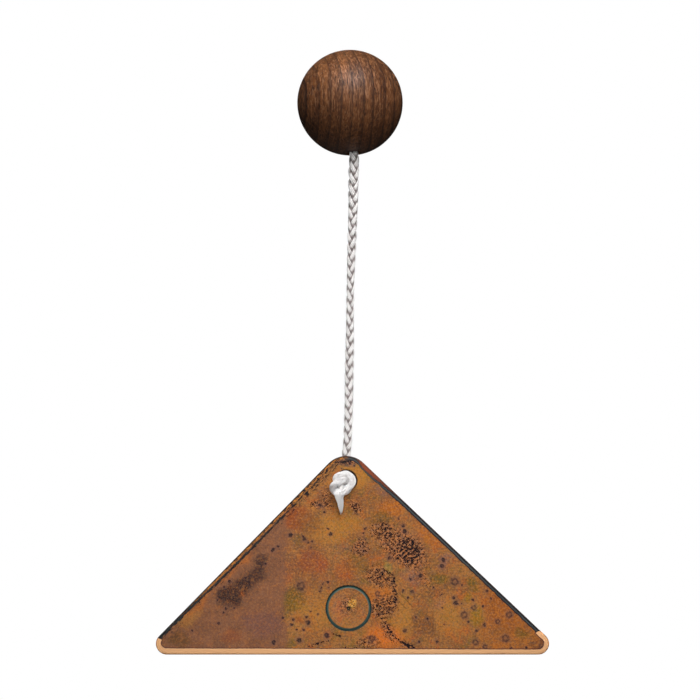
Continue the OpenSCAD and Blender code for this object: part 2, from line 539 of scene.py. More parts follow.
def braid_finish():
    """White spun yarn: fine fibres along each yarn; painted shade deep in the braid and between
    yarns.
    """
    material, tree, shader = new_finish("braid_white")
    hairs = grain(stretched(mark_of(tree, "fibre", "Vector"), (1, 1, 700)), 0.3, 3, 0.6)
    depth, shade, rise = (mark_of(tree, name) for name in ("depth", "shade", "rise"))
    colour = mixed(shade, seen(252, 250, 248), seen(238, 234, 232))
    colour = mixed(ramp(hairs, 0.35, 0.75), colour, seen(220, 213, 211))
    # Painted shade: yarns lying low, near the braid's core, are greyer
    colour = mixed(ramp(rise, 1.02, 0.78), colour, seen(142, 130, 127))
    # The tail's fibres rise above all yarns, so they miss the painted shade and get painted light
    colour = mixed(ramp(rise, 1.2, fibre_rise), colour, seen(253, 251, 249))
    # Painted shade where strands dive under the others
    colour = mixed(ramp(depth, 0.75, 0.1), colour, seen(126, 114, 111))
    feed(shader, {
        "Base Color": colour, "Roughness": 0.55, "Normal": bumped(hairs, 0.00006),
        "Sheen Weight": 0.15, "Sheen Roughness": 0.5, "Subsurface Weight": 0.5,
        "Subsurface Radius": (1.0, 0.97, 0.94), "Subsurface Scale": 0.0010,
    })
    return material


# The cord is made in two pieces, split a little below where it leaves the ball: the neck and the
# fall.
neck_length = 0.012
split_run = throat_run + neck_length
neck_mesh, fall_mesh = no_yarns(), no_yarns()
add_braid(neck_mesh, 0, split_run)
add_braid(fall_mesh, split_run, tail_run + yarn_overrun)
add_fibres(fall_mesh)
cord_neck = cord_piece("cord_neck", neck_mesh)
cord_fall = cord_piece("cord_fall", fall_mesh)
white_braid = braid_finish()
for piece in (cord_neck, cord_fall):
    piece.data.materials.append(white_braid)
split = cord_line[np.argmin(abs(cord_run - split_run))]
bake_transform(cord_neck)
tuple(split)
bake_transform(cord_fall)
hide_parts("cord_root")
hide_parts("hanging_cord", "lower_knot")
fall_path = cord_line[cord_run >= split_run - ring_step / 2]
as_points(fall_path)


# The ball: a turned ball of dark oiled walnut with a blind bore from below, flared at its mouth,
# that holds the glued end of the cord. The grain runs nearly upright.
ball_r = 0.02
bore_r = 0.0019
flare = 0.0012
mouth_round = 0.0003
ball_rings = 72
ball_sides = 128
drill_half_angle = math.radians(59)
layer_step = 0.0041
layer_bow = 9.0
layer_tilt = 0.12
layer_sway = 0.0026


def ball_profile():
    """Half outline of the ball in the plane of its bore, as (out, down) from its centre."""
    mouth_r = bore_r + flare
    edge = math.asin((mouth_r + mouth_round) / ball_r)
    points = [
        (ball_r * math.sin(a), -ball_r * math.cos(a))
        for a in np.linspace(0, math.pi - edge, ball_rings)
    ]
    rim_down = math.sqrt(ball_r**2 - mouth_r**2)
    # The mouth's edge is broken, and the flare runs on from it into the bore
    points += [(mouth_r + 0.4 * mouth_round, rim_down - 0.1 * mouth_round)]
    points += [
        (bore_r + share * flare, rim_down - mouth_round - (1 - share) * flare)
        for share in (0.9, 0.6, 0.3, 0)
    ]
    points += [(bore_r, 0.5 * ball_r), (bore_r, -bore_top)]
    points += [(0, -bore_top - bore_r / math.tan(drill_half_angle))]
    return points


def turned(name, profile, sides, axis_down):
    """A piece turned from a profile of (out, down) points round an axis through the origin."""
    side = unit(np.cross([0, 1, 0], axis_down))
    other = np.cross(axis_down, side)
    points, faces, rows = [], [], []
    for out, down in profile:
        count = 1 if out < 1e-9 else sides
        rows.append((len(points), count))
        for k in range(count):
            a = 2 * math.pi * k / sides
            points.append(down * axis_down + out * (math.cos(a) * side + math.sin(a) * other))
    for (a, na), (b, nb) in zip(rows, rows[1:]):
        for k in range(sides):
            n = (k + 1) % sides
            if na == 1:
                faces.append((a, b + n, b + k))
            elif nb == 1:
                faces.append((a + k, a + n, b))
            else:
                faces.append((a + k, a + n, b + n, b + k))
    return new_piece(name, points, faces)


def walnut_finish():
    """Oiled walnut: dark growth lines a few millimetres apart, pores and faint turning marks."""
    material, tree, shader = new_finish("walnut_oiled")
    place = Flow(add_node(tree, "ShaderNodeTexCoord"), "Object")
    x, y, z = parts_of(place)
    # The growth layers stand upright in the lower half and bow to the left above it
    above = maths("MAXIMUM", z, 0.0)
    sway = grain(stretched(place, (1, 0.3, 0.12)), 0.007, 1, 0.5)
    layer = x + layer_bow * above * above + layer_tilt * y + layer_sway * sway
    grained = place_at(layer, y, z)
    # Each layer darkens slowly and ends in a sharp dark line
    phase = maths("FRACT", (layer + 1.0) / layer_step)
    uneven = grain(stretched(grained, (1, 0.4, 0.2)), 0.0035, 2, 0.6)
    late = maths("POWER", phase, 4.0) * ramp(uneven, 0.10, 0.48)
    streaks = grain(stretched(grained, (1, 0.08, 0.02)), 0.0008, 5, 0.75)
    clouds = grain(stretched(place, (1, 0.5, 0.3)), 0.008, 3, 0.55)
    colour = mixed(ramp(clouds, 0.3, 0.7), seen(142, 89, 50), seen(106, 64, 36))
    colour = mixed(ramp(streaks, 0.44, 0.70), colour, seen(84, 50, 31))
    colour = mixed(0.6 * ramp(streaks, 0.46, 0.28), colour, seen(164, 110, 68))
    # Short fibres, light and dark, give the cut wood its fine grain
    fibres = grain(stretched(grained, (1, 0.5, 0.18)), 0.00048, 2, 0.7)
    colour = mixed(0.5 * ramp(fibres, 0.50, 0.37), colour, seen(186, 134, 96))
    colour = mixed(0.5 * ramp(fibres, 0.50, 0.64), colour, seen(52, 33, 25))
    colour = mixed(0.85 * late, colour, seen(42, 27, 24))
    pores = grain(stretched(grained, (1, 0.4, 0.12)), 0.00045, 2, 0.6)
    pore = ramp(pores, 0.57, 0.64)
    colour = mixed(0.75 * pore, colour, seen(38, 23, 19))
    # Painted shade: the wood is darkened towards the bottom, which the lamp above leaves in shade
    colour = mixed(0.5 * ramp(z, 0.013, -0.013), colour, seen(46, 27, 17))
    inputs = {"Vector": place, "Scale": 900.0, "Distortion": 0.4, "Detail": 1.0}
    turning_marks = fed("ShaderNodeTexWave", inputs, "Fac", bands_direction="Z")
    height = 0.1 * turning_marks - pore - 0.8 * fibres
    feed(shader, {
        "Base Color": colour, "Roughness": 0.38 + 0.15 * streaks, "Specular IOR Level": 0.35,
        "Normal": bumped(height, 0.00014),
    })
    return material


ball = turned("ball", ball_profile(), ball_sides, bore_down)
ball.data.materials.append(walnut_finish())
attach(ball, "ball")
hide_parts("handle_ball")


# The plate: a right-angled triangle sawn from thick copper, with rounded corners and edges, a
# bevelled hole for the cord near its apex, a turned ring groove and a punch mark.
plate_base = 0.1562
plate_h = 0.0768
apex_offset = 0.0028
apex_r = 0.0092
corner_r = 0.004
edge_r = 0.0016
hole_bevel = 0.0004
ring_d = 0.017
ring_w = 0.0011
ring_rise = 0.017
ring_offset = 0.0017
punch_r = 0.0008
punch_depth = 0.0008

corners = np.array([(-plate_base / 2, 0), (plate_base / 2, 0), (-apex_offset, plate_h)])
corner_radii = (corner_r, corner_r, apex_r)


def arc_centre(p, q, s, r):
    """Centre of the arc of radius r that rounds corner p, whose neighbours are q and s."""
    to_q, to_s = unit(q - p), unit(s - p)
    half = math.acos(to_q @ to_s) / 2
    return p + unit(to_q + to_s) * r / math.sin(half)


arc_centres = [
    arc_centre(corners[i], corners[i - 2], corners[i - 1], corner_radii[i]) for i in range(3)
]
hole_centre = arc_centres[2]
ring_centre = np.array([-ring_offset, ring_rise])
edge_out = [
    unit(np.array([b[1] - a[1], a[0] - b[0]]))
    for a, b in zip(corners, np.roll(corners, -1, axis=0))
]


def placed(x, y, z):
    """A point of the plate, given from its base's middle and from its middle plane."""
    x, y = x - hole_centre[0], y - hole_centre[1]
    return hole_middle + x * np.array([1, 0, 0]) + y * face_up + z * face_out


def inset_of(p):
    """How far a point lies inside the plate's rounded outline."""
    edges = [(p - c) @ -n for c, n in zip(corners, edge_out)]
    for i in range(3):
        away = p - arc_centres[i]
        before, after = edge_out[i - 1], edge_out[i]
        turn = before[0] * away[1] - before[1] * away[0]
        turn_back = away[0] * after[1] - away[1] * after[0]
        if turn >= 0 and turn_back >= 0 and away @ (before + after) > 0:
            return corner_radii[i] - np.linalg.norm(away)
    return min(edges)


corner_step = math.radians(7)
edge_step = 0.0015


def outline(inset):
    """Points round the plate's outline, moved inwards."""
    points = []
    for i in range(3):
        before, after = edge_out[i - 1], edge_out[i]
        start = math.atan2(before[1], before[0])
        sweep = (math.atan2(after[1], after[0]) - start) % (2 * math.pi)
        steps = math.ceil(sweep / corner_step)
        arc = [
            arc_centres[i] + (corner_radii[i] - inset) * np.array([math.cos(a), math.sin(a)])
            for a in np.linspace(start, start + sweep, steps + 1)
        ]
        nxt = (i + 1) % 3
        end = arc_centres[nxt] + (corner_radii[nxt] - inset) * after
        count = math.ceil(np.linalg.norm(end - arc[-1]) / edge_step)
        side = [arc[-1] + (end - arc[-1]) * k / count for k in range(1, count)]
        points += arc + side
    return points


def circle_points(centre, radius, count):
    return [
        centre + radius * np.array([math.cos(a), math.sin(a)])
        for a in np.arange(count) * 2 * math.pi / count
    ]


rounding_steps = 6
hole_sides = 72
ring_sides = 144
punch_sides = 20
wall_shares = (0.9, 0, -0.9)
groove_shares = (-1.3, -1.0, -0.85, -0.5, 0, 0.5, 0.85, 1.0, 1.3)
punch_shares = (0.3, 0.6, 0.85, 1.05, 1.35)
groove_mid = (ring_d - ring_w) / 2
# Steps of the grid of points on the faces, the rows of points just inside the rounding and round
# the hole, and how far the grid keeps from the rounding, the hole, the groove and the punch mark
front_step = 0.0009
back_step = 0.0018
grid_row_share = math.sqrt(0.75)
edge_row = 0.0005
hole_row = 0.001
edge_clear = 0.0009
hole_clear = 0.0016
groove_clear = 0.0012
punch_clear = 0.0015
# The lips beside the groove and the punch mark, and the slight waves of the sawn faces
lip_share = 1.2
lip_height = 0.00004
wave_height = 0.00008
wave_length = 0.013
wave_rise = 0.004
# The band ground along the bottom edge: its width at the middle and how that grows to the left,
# its width up the corners' sides, the heights between which it changes from one to the other, and
# the heights at which it ends at the left and at the right
ground_reach = 0.0021
ground_skew = -0.0033
ground_side = 0.0018
ground_turn = (0.002, 0.004)
ground_tops = (0.0068, 0.0094)
ground_taper = 0.0016
ground_clear = 0.001
ground_soft = 0.0004
ground_edge_r = 0.0005
ground_slope = math.radians(9)


def held(share):
    """A share, held between 0 and 1."""
    return min(1, max(0, share))


def eased(share):
    """A share held between 0 and 1, with soft ends."""
    share = held(share)
    return share * share * (3 - 2 * share)


def ground_width(p):
    """Width of the band ground along the bottom edge, negative above the lower corners."""
    top = ground_tops[0] if p[0] < hole_centre[0] else ground_tops[1]
    kept = eased((top - p[1]) / ground_taper)
    side = eased((p[1] - ground_turn[0]) / (ground_turn[1] - ground_turn[0]))
    width = (1 - side) * (ground_reach + ground_skew * p[0]) + side * ground_side
    return (width + ground_clear) * kept - ground_clear


def face_height(p, marked):
    """Height of a face of the plate over its middle plane, at a point of its drawing."""
    inset = inset_of(p)
    height = plate_t / 2
    # The bottom edge is ground to a flat facet, so its own rounding is smaller
    facet = ground_width(p) - inset
    share = held(facet / ground_soft) if marked else 0
    rounding = edge_r + (ground_edge_r - edge_r) * share
    height -= share * facet * math.tan(ground_slope)
    if inset < rounding:
        sine = held(1 - inset / rounding)
        height -= rounding * (1 - math.sqrt(1 - sine**2))
    wave = noise.noise(Vector((p[0] / wave_length, p[1] / wave_length, marked)))
    height += wave_height * held((inset - edge_r) / wave_rise) * wave
    if marked:
        away = np.linalg.norm(p - ring_centre)
        off = abs(away - groove_mid) / (ring_w / 2)
        if off < 1:
            height -= ring_w / 2 * math.sqrt(1 - off**2)
        elif off < lip_share:
            height += lip_height
        if away < punch_r:
            height -= punch_depth * (1 - away / punch_r)
        elif away < lip_share * punch_r:
            height += lip_height
    return height


def filled_face(marked):
    """One face of the plate: its points, its triangles, and where its two borders are."""
    insets = [
        edge_r * (1 - math.cos(a)) for a in np.linspace(0, math.pi / 2, rounding_steps + 1)
    ]
    insets += [edge_r + edge_row]
    loops = [outline(inset) for inset in insets]
    loops += [
        circle_points(hole_centre, hole_r + reach, hole_sides) for reach in (hole_bevel, hole_row)
    ]
    if marked:
        for share in groove_shares:
            loops.append(circle_points(ring_centre, groove_mid + share * ring_w / 2, ring_sides))
        for share in punch_shares:
            loops.append(circle_points(ring_centre, share * punch_r, punch_sides))
    points, edges = [], []
    for loop in loops:
        first, count = len(points), len(loop)
        points += [tuple(p) for p in loop]
        edges += [(first + k, first + (k + 1) % count) for k in range(count)]
    step = front_step if marked else back_step
    columns = int(plate_base / 2 / step)
    for row in range(int(plate_h / (step * grid_row_share))):
        for column in range(-columns, columns):
            p = np.array([(column + 0.5 * (row % 2)) * step, row * step * grid_row_share])
            clear = inset_of(p) > edge_r + edge_clear
            clear = clear and math.dist(p, hole_centre) > hole_r + hole_clear
            if marked:
                away = math.dist(p, ring_centre)
                clear = clear and abs(away - groove_mid) > groove_clear and away > punch_clear
            if clear:
                points.append(tuple(p))
    if marked:
        points.append(tuple(ring_centre))
    found = geometry.delaunay_2d_cdt([Vector(p) for p in points], edges, [], 0, 1e-7, True)
    flat, triangles, origins = found[0], found[2], found[3]
    place_of = {old: new for new, olds in enumerate(origins) for old in olds}
    flat = [np.array(p) for p in flat]
    triangles = [
        t for t in triangles
        if np.linalg.norm(sum(flat[k] for k in t) / 3 - hole_centre) > hole_r + hole_bevel * 0.9
    ]
    border = [place_of[k] for k in range(len(loops[0]))]
    hole_first = sum(len(loop) for loop in loops[:len(insets)])
    hole = [place_of[hole_first + k] for k in range(hole_sides)]
    return flat, triangles, border, hole


def plate_mesh():
    """All of the plate: two faces, the wall round its edge and the wall of its hole."""
    points, drawn, faces = [], [], []
    borders, holes = [], []

    def add_row(row, heights):
        first = len(points)
        for p, z in zip(row, heights):
            points.append(placed(*p, z))
            drawn.append((p[0], p[1], z))
        return range(first, len(points))

    for side in (1, -1):
        flat, triangles, border, hole = filled_face(side > 0)
        first = len(points)
        add_row(flat, [side * face_height(p, side > 0) for p in flat])
        for a, b, c in triangles:
            faces.append((first + a, first + b, first + c)[::side])
        borders.append([first + k for k in border])
        holes.append([first + k for k in hole])

    rim, bore = outline(0), circle_points(hole_centre, hole_r, hole_sides)
    wall_height = plate_t / 2 - edge_r
    bevel_height = plate_t / 2 - hole_bevel
    for row, heights, ends, facing in (
        (rim, [share * wall_height for share in wall_shares], borders, 1),
        (bore, [bevel_height, 0, -bevel_height], holes, -1),
    ):
        rows = [ends[0], *(add_row(row, [z] * len(row)) for z in heights), ends[1]]
        for upper, lower in zip(rows, rows[1:]):
            for k in range(len(row)):
                n = (k + 1) % len(row)
                faces.append((upper[k], lower[k], lower[n], upper[n])[::facing])
    return points, drawn, faces


# Colours of the heat and verdigris patina
tones = {
    "ochre": seen(188, 129, 49), "orange": seen(197, 108, 31), "bright": seen(230, 117, 37),
    "orange_red": seen(191, 87, 37), "red": seen(162, 76, 38), "rust": seen(146, 70, 38),
    "rust_orange": seen(161, 88, 36), "rust_brown": seen(112, 74, 48),
    "olive": seen(94, 88, 30), "olive_brown": seen(117, 86, 38), "olive_dark": seen(86, 63, 36),
    "moss": seen(143, 116, 24), "leaf": seen(149, 132, 64), "mauve": seen(143, 99, 92),
    "mauve_dark": seen(110, 76, 78), "plum": seen(110, 65, 56), "plum_dark": seen(62, 42, 48),
    "salmon": seen(194, 126, 92), "soot": seen(42, 37, 42),
    "grey": seen(72, 76, 82),
}
# Patches of the patina on the struck face: place from the hole's centre, half width and half
# height in millimetres, turn in degrees, tone and strength
patches = [
    # round the hole
    (4.4, 2.4, 4.4, 4.8, 0, "ochre", 0.8), (1.4, 5.4, 4.4, 1.9, 0, "ochre", 0.7),
    (-8.6, -4.6, 3.0, 3.7, 0, "plum", 0.5), (3.6, -8.8, 2.6, 3.0, 0, "plum", 0.55),
    (13.6, -3.5, 2.6, 2.2, -40, "mauve", 0.5), (0.0, 7.6, 3.9, 1.1, 0, "grey", 1.0),
    # under the apex
    (17.0, -10.2, 5.6, 2.2, 8, "orange", 0.75), (12.9, -14.3, 4.4, 3.3, 0, "olive_brown", 0.7),
    (-18.2, -13.5, 4.4, 4.8, 0, "rust", 0.9), (-7.9, -18.3, 7.4, 5.2, 0, "ochre", 0.6),
    (-13.6, -15.6, 4.6, 3.8, 0, "rust_brown", 0.6), (0.8, -16.2, 5.2, 3.6, 0, "ochre", 0.6),
    (31.0, -19.4, 5.9, 3.0, -42, "orange", 0.55),
    # middle left
    (-17.9, -22.0, 1.9, 2.2, 0, "olive", 0.6), (-12.7, -30.2, 5.9, 4.4, -10, "red", 0.8),
    (-9.0, -31.7, 2.6, 2.2, 0, "orange_red", 0.6), (-18.6, -43.1, 3.4, 5.4, 0, "olive", 0.9),
    (-19.7, -59.1, 2.2, 3.0, 0, "olive", 0.6), (-11.6, -46.1, 7.4, 8.1, 0, "ochre", 0.5),
    (-17.1, -51.7, 1.5, 1.1, 0, "red", 0.6), (-13.5, -32.0, 9.0, 12.0, 0, "plum", 0.45),
    # middle
    (5.5, -24.6, 2.6, 3.0, 0, "mauve_dark", 0.65), (-0.1, -33.9, 3.3, 3.0, 0, "red", 0.6),
    (4.4, -29.8, 3.7, 4.4, 0, "olive_brown", 0.5), (24.7, -34.6, 3.3, 3.3, 0, "mauve", 0.6),
    (21.4, -23.9, 8.1, 5.9, -20, "salmon", 0.4), (-0.6, -24.6, 2.8, 1.8, 0, "grey", 0.4),
    # beside the ring
    (11.8, -42.0, 5.2, 3.0, 0, "orange", 0.6), (14.7, -57.6, 6.6, 5.0, 0, "bright", 0.95),
    (15.5, -31.7, 1.5, 2.6, 30, "leaf", 0.8), (-3.0, -47.0, 3.6, 4.4, 0, "mauve", 0.35),
    # right
    (28.8, -52.4, 4.2, 4.8, 0, "rust_brown", 0.9), (34.4, -34.6, 3.3, 1.9, 0, "olive", 0.7),
    (46.6, -38.0, 2.2, 3.0, 30, "olive", 0.8), (44.7, -43.5, 1.9, 2.2, 0, "moss", 0.7),
    (48.1, -49.8, 2.2, 2.6, 0, "moss", 0.7), (58.8, -48.7, 8.9, 5.2, -38, "rust_orange", 0.7),
    (64.0, -56.1, 3.0, 1.9, 0, "olive", 0.6), (71.0, -60.2, 2.6, 1.9, 0, "plum_dark", 0.85),
    (33.6, -40.2, 5.2, 3.0, 0, "rust_brown", 0.5), (36.2, -29.1, 2.2, 3.3, 0, "mauve", 0.6),
    (34.7, -45.4, 1.5, 1.9, 0, "mauve", 0.5), (21.6, -51.2, 3.4, 8.0, 0, "ochre", 0.55),
    (38.3, -51.0, 5.0, 6.5, 0, "ochre", 0.4),
    # left
    (-43.0, -42.9, 4.6, 3.6, 10, "soot", 1.0), (-38.2, -38.7, 5.2, 3.0, 35, "soot", 1.0),
    (-33.0, -33.5, 3.8, 3.0, 50, "soot", 0.9), (-31.2, -29.8, 2.3, 2.2, 0, "soot", 0.8),
    (-58.2, -50.6, 4.3, 2.6, 40, "ochre", 0.4), (-41.2, -31.3, 8.1, 1.5, 46, "orange", 0.5),
    (-54.1, -44.3, 6.7, 1.5, 46, "orange", 0.5), (-61.2, -58.0, 4.1, 2.6, 0, "olive_dark", 0.7),
    (-30.1, -52.4, 7.4, 4.4, 0, "mauve_dark", 0.45), (-42.3, -57.6, 3.7, 2.2, 0, "rust", 0.4),
    (-38.6, -41.3, 0.9, 0.8, 0, "bright", 0.6),
]
# Where the black scale gathers in small curls: place, half width and height, turn, thickness
curl_patches = [
    (19.9, -24.3, 10.5, 4.6, -36, 0.8), (23.6, -26.1, 4.6, 4.8, 0, 0.7),
    (13.3, -18.3, 4.0, 2.5, 0, 0.5), (12.1, -35.4, 5.0, 3.2, -20, 0.8),
    (17.7, -40.6, 1.3, 5.0, 0, 0.6), (13.3, -46.4, 4.4, 4.0, 0, 0.9),
    (15.5, -55.4, 2.0, 4.6, 25, 0.7), (8.1, -59.8, 4.6, 2.0, 0, 0.7),
    (22.9, -60.9, 3.7, 1.2, -25, 0.9), (3.4, -9.2, 1.6, 2.8, 35, 1.0),
    (-7.2, -5.0, 1.6, 2.4, 0, 0.6), (-9.5, -8.9, 4.0, 1.7, -10, 0.7), (5.5, -24.6, 2.8, 2.8, 0, 0.9),
    (1.0, -46.1, 2.9, 2.9, 0, 0.6), (-13.0, 4.0, 6.0, 2.5, 45, 0.4),
    (-0.6, 7.4, 3.4, 0.9, 0, 1.1), (28.5, -36.0, 4.0, 2.6, -20, 0.35),
    (-40.5, -40.8, 6.0, 2.8, 35, 0.22),
]
# Fine cracks in the scale: place, half width and height, turn
cracks = [
    (15.4, -33.8, 2.4, 0.3, -35), (17.7, -38.2, 3.0, 0.35, -85), (18.1, -43.4, 2.4, 0.3, -84),
    (15.6, -54.4, 3.2, 0.3, -58), (18.8, -58.2, 1.9, 0.3, -38), (23.0, -60.6, 3.0, 0.4, -24),
    (-10.8, -60.0, 4.3, 0.25, 17), (-2.9, -57.0, 2.3, 0.25, -25), (1.4, -61.8, 2.8, 0.5, 0),
]
# Thin straight scratches: place, half length and half width, turn
scratches = [(21.9, -43.7, 4.4, 0.22, -46), (20.8, -45.8, 2.2, 0.2, -45)]
# Round dark specks: place and radius in millimetres
specks = [
    (-1.9, 7.2, 0.50), (1.2, 6.4, 0.48), (2.9, 5.4, 0.45), (-1.9, 4.4, 0.37),
    (-42.9, -37.0, 0.56), (-44.9, -39.1, 0.48), (-47.4, -43.9, 0.37), (-44.3, -47.1, 0.56),
    (-41.2, -46.7, 0.44), (-45.1, -48.5, 0.37), (-29.7, -30.8, 0.44), (-26.9, -25.3, 0.81),
    (-25.1, -24.3, 0.56), (-46.9, -52.4, 0.48), (-56.6, -55.1, 0.44), (-26.6, -59.4, 0.81),
    (-23.4, -50.4, 0.37), (-37.1, -35.7, 0.37), (-20.4, -20.1, 0.81), (-15.4, -21.5, 0.67),
    (-16.0, -20.6, 0.44), (-14.1, -22.8, 0.37), (-12.5, -22.4, 0.48), (-13.1, -24.9, 0.37),
    (-5.8, -19.7, 0.67), (-6.6, -17.6, 0.37), (-8.0, -11.7, 0.56), (-9.7, -9.1, 0.74),
    (-9.3, -39.3, 0.44), (-9.6, -40.6, 0.56), (-8.6, -37.8, 0.41), (-6.9, -37.4, 0.44),
    (-6.4, -39.4, 0.37), (-10.4, -49.1, 0.33), (-13.0, -48.0, 0.33), (-19.5, -51.1, 0.56),
    (-19.9, -53.1, 0.48), (-14.6, -50.2, 0.56), (-14.0, -52.2, 0.89), (-15.6, -54.8, 0.48),
    (-17.3, -58.6, 0.96), (-7.1, -56.9, 0.96), (-18.2, -54.8, 0.37), (7.0, -17.6, 0.44),
    (6.4, -19.3, 0.37), (19.4, -14.0, 0.44), (21.0, -16.4, 0.56), (21.5, -18.6, 0.81),
    (15.9, -28.5, 0.74), (27.3, -35.0, 0.74), (23.6, -36.3, 0.56), (24.3, -40.7, 0.63),
    (21.0, -40.6, 0.44), (22.7, -43.1, 0.44), (32.0, -39.3, 0.33), (25.5, -50.2, 0.37),
    (29.9, -50.9, 0.44), (21.6, -55.0, 0.67), (26.8, -59.3, 0.48), (33.4, -59.1, 0.59),
    (35.9, -52.8, 0.30), (29.2, -62.0, 0.56), (35.7, -29.1, 0.74), (35.3, -31.3, 0.74),
    (42.6, -38.5, 0.37), (39.6, -42.9, 0.59), (40.3, -45.0, 0.81), (42.5, -45.2, 0.37),
    (46.6, -43.8, 0.56), (50.3, -46.1, 0.48), (44.9, -51.7, 0.44), (50.9, -52.9, 0.56),
    (48.1, -55.2, 0.44), (51.8, -40.7, 0.56), (53.3, -43.5, 0.48), (66.2, -61.3, 0.56),
    (34.9, -42.0, 0.37), (35.4, -46.8, 0.37), (60.5, -61.7, 0.48),
]
# Specks with a lighter middle
eyes = [
    (-16.7, -38.7, 1.30), (9.4, -58.0, 0.90), (11.6, -41.5, 0.74), (40.0, -37.2, 1.20),
    (43.4, -49.4, 1.10), (47.0, -46.7, 0.80), (55.7, -51.7, 0.74), (59.9, -49.3, 0.93),
    (58.6, -58.0, 1.15), (47.5, -59.4, 0.93), (51.0, -61.1, 0.74),
]
# Where the browner zone at the left ends and the more orange one at the right begins
left_zone = -0.0215
right_zone = 0.050
# How far the patches' borders stray from their ovals, in waves of what length, in which row of
# the noise; and how soft the borders of patches and of curls are
stray_waves = ((2.2, 6, 0.3), (1.0, 2.2, 5.3))
patch_soft = 0.45
curl_soft = 0.5
curl_stray_share = 0.4
thin_scale = 0.1
# The back, which the struck face hides, has patches of the same kind at seeded places: between
# what bounds their place, half width and height, turn and strength lie, and how many have curls
back_tones = ("orange", "olive", "mauve_dark", "ochre", "rust", "plum", "red", "salmon")
back_patch_count = 6
back_bounds = ((-70, 70), (-66, 6), (3, 11), (2, 7), (-60, 60), (0.4, 0.85))
back_curls_every = 3
back_curl_share = 0.6
mm = 0.001


def oval_shares(at, x, y, half_w, half_h, turn, soft):
    """For points in millimetres on the face: 1 inside an oval and 0 outside, with a soft border."""
    a = math.radians(turn)
    right, up = at[:, 0] - x, at[:, 1] - y
    across = (right * math.cos(a) + up * math.sin(a)) / half_w
    along = (up * math.cos(a) - right * math.sin(a)) / half_h
    share = np.clip((1 + soft - np.hypot(across, along)) / (2 * soft), 0, 1)
    return share * share * (3 - 2 * share)


def back_patina():
    """Patches and curls of the back, as the lists above give them for the struck face."""
    tossed = random.Random(11)
    back_patches, back_curls = [], []
    for name in back_tones * back_patch_count:
        x, y, half_w, half_h, turn, strength = [
            tossed.uniform(low, high) for low, high in back_bounds
        ]
        back_patches.append((x, y, half_w, half_h, turn, name, strength))
        if len(back_patches) % back_curls_every == 0:
            half_w, half_h = back_curl_share * half_w, back_curl_share * half_h
            back_curls.append((x, y, half_w, half_h, turn, strength))
    return back_patches, back_curls


def painted(points):
    """Tone and cover of the patches, and thickness of the black scale, at points of the plate."""
    at = (points[:, :2] - hole_centre) / mm
    stray = sum(
        reach * np.array([noise.noise_vector(Vector((x / run, y / run, row))) for x, y in at])
        for reach, run, row in stray_waves
    )[:, :2]
    front = points[:, 2] > plate_t / 2 - edge_r
    back = points[:, 2] < edge_r - plate_t / 2
    tone, cover = np.zeros((len(at), 3)), np.zeros(len(at))
    thickness = np.full(len(at), thin_scale)
    for side, its_patches, its_curls in (
        (front, patches, curl_patches), (back, *back_patina()),
    ):
        for x, y, half_w, half_h, turn, name, strength in its_patches:
            oval = oval_shares(at + stray, x, y, half_w, half_h, turn, patch_soft)
            share = strength * side * oval
            tone += share[:, None] * (np.array(tones[name][:3]) - tone)
            cover += share * (1 - cover)
        for x, y, half_w, half_h, turn, strength in its_curls:
            near = at + curl_stray_share * stray
            oval = oval_shares(near, x, y, half_w, half_h, turn, curl_soft)
            thickness += strength * side * oval
    return np.column_stack([tone, cover]), thickness * (front | back)


def shifted(place, size, amount):
    """A place moved about by noise, so that what is drawn on it gets ragged borders."""
    cloud = grain(place, size, 3.0, 0.6, output="Color")
    off = vector("SUBTRACT", cloud, (0.5, 0.5, 0.5))
    return vector("MULTIPLY_ADD", off, (amount, amount, 0), place)


def patch(place, x, y, half_w, half_h, turn, soft):
    """1 inside an oval on the face and 0 outside, with a soft border."""
    inputs = {
        "Vector": place, "Location": (x * mm, y * mm, 0),
        "Rotation": (0, 0, math.radians(turn)), "Scale": (half_w * mm, half_h * mm, 1),
    }
    oval = fed("ShaderNodeMapping", inputs, vector_type="TEXTURE")
    return ramp(vector("LENGTH", oval, output=1), 1 + soft, 1 - soft)


def nearest(place, spots):
    """Distance to the nearest of the spots, where 1 is that spot's own radius."""
    least = 9.0
    for x, y, r in spots:
        away = vector("DISTANCE", place, (x * mm, y * mm, plate_t / 2), output=1)
        least = maths("MINIMUM", away / (r * mm), least)
    return least


def copper_places(tree):
    """The places and the clouds of noise that all of the copper's finish is worked out from."""
    drawn = mark_of(tree, "drawn", "Vector")
    place = vector("SUBTRACT", drawn, (*hole_centre, 0))
    x, y, z = parts_of(place)
    at = SimpleNamespace(tree=tree, place=place, x=x, y=y)
    at.inset = mark_of(tree, "inset")
    at.front = ramp(z, 0.0, 0.001)
    at.above_base = y + hole_centre[1]
    at.on_slant = ramp(at.above_base - at.inset, 0.0003, 0.0012)
    at.on_wall = ramp(abs(z), plate_t / 2 - 0.4 * edge_r, plate_t / 2 - edge_r)
    at.ragged_x = parts_of(shifted(place, 0.006, 0.0075))[0]
    at.leftness = ramp(at.ragged_x, left_zone + 0.002, left_zone - 0.002) * at.front
    at.ragged = shifted(place, 0.0010, 0.0017)
    at.clouds = grain(place, 0.011, 5, 0.62)
    at.veins = grain(place, 0.004, 4, 0.65, 0.6)
    at.mid = grain(place, 0.0022, 4, 0.7, 0.4)
    at.fine = grain(place, 0.00075, 3, 0.75)
    at.streak = grain(place_at((x + y) * 0.7, at.inset * 3.5), 0.0016, 3, 0.65)
    return at


